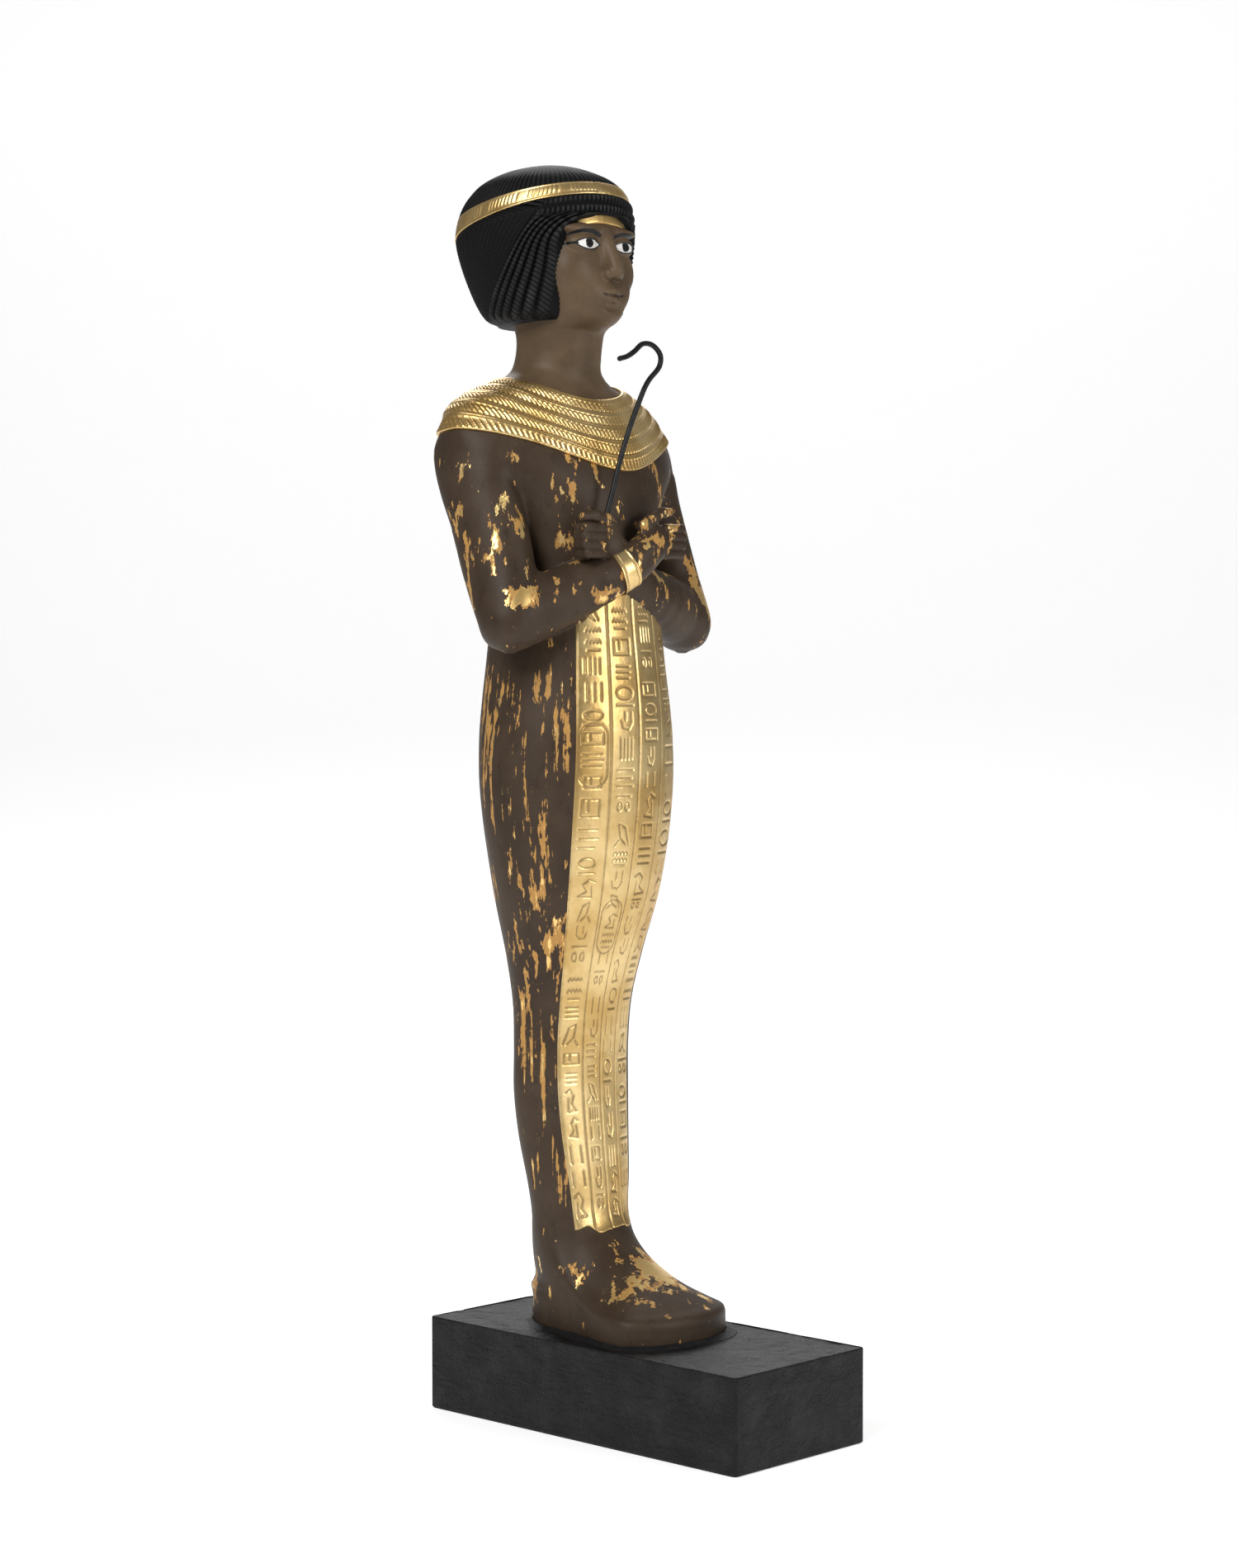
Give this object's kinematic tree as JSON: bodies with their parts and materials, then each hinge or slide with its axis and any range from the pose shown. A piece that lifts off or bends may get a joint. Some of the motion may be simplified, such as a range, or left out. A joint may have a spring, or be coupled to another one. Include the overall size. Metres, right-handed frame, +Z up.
{
  "type": "servant figure on a plinth",
  "caption": "Standing wrapped servant figure with crossed arms, gilded collar and text panel, holding a crook, on a black block plinth.",
  "frame": {"origin": "middle of the plinth's underside", "axes": "+Z up, the figure looks along -Y and its left side is +X"},
  "size_m": [0.131, 0.1849, 0.533],
  "materials": {
    "painted_cast": "satin dark brown paint on a cast body, with worn gilding",
    "gold_leaf": "bright gold leaf, rubbed on the high places",
    "wig_black": "satin black paint",
    "blackened_rod": "satin black",
    "black_block": "matte black, rough like slate on top"
  },
  "bodies": {
    "root": {"figure": "painted_cast", "crook": "blackened_rod", "plinth": "black_block"}
  },
  "joints": []
}
